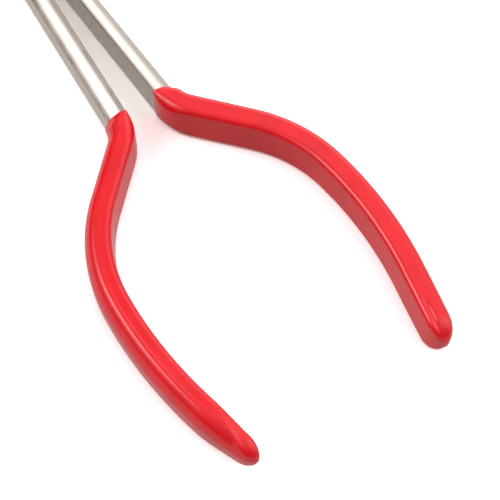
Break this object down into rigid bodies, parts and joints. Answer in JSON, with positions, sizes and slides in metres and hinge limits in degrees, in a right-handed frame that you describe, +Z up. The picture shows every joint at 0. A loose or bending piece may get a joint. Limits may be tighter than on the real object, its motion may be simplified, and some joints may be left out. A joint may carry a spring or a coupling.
{
  "type": "long nose pliers",
  "caption": "Long-reach long-nose pliers with half-round shanks, a riveted lap joint, serrated jaws and dipped vinyl grips.",
  "frame": {"origin": "on the pivot axis, at the flat underside of the rivet, in the plane that the pliers lie on", "axes": "+Y from the pivot towards the nose, +Z up along the pivot axis, +X towards the right-hand grip"},
  "size_m": [0.0781, 0.2792, 0.012],
  "materials": {
    "forged_steel": "satin nickel on forged steel, warm grey, faint lengthwise polishing",
    "rivet_steel": "ground flush with the joint",
    "dipped_vinyl": "bright red dipped vinyl, half gloss, slightly uneven"
  },
  "bodies": {
    "right_side": {"right_half": "forged_steel", "right_grip": "dipped_vinyl", "pivot_rivet": "rivet_steel"},
    "left_side": {"left_half": "forged_steel", "left_grip": "dipped_vinyl"}
  },
  "joints": [
    {"name": "pivot", "type": "hinge", "parent": "right_side", "child": "left_side", "pos_m": [0, 0, 0.006], "axis": [0, 0, -1], "range_deg": [-4.4, 35]}
  ]
}
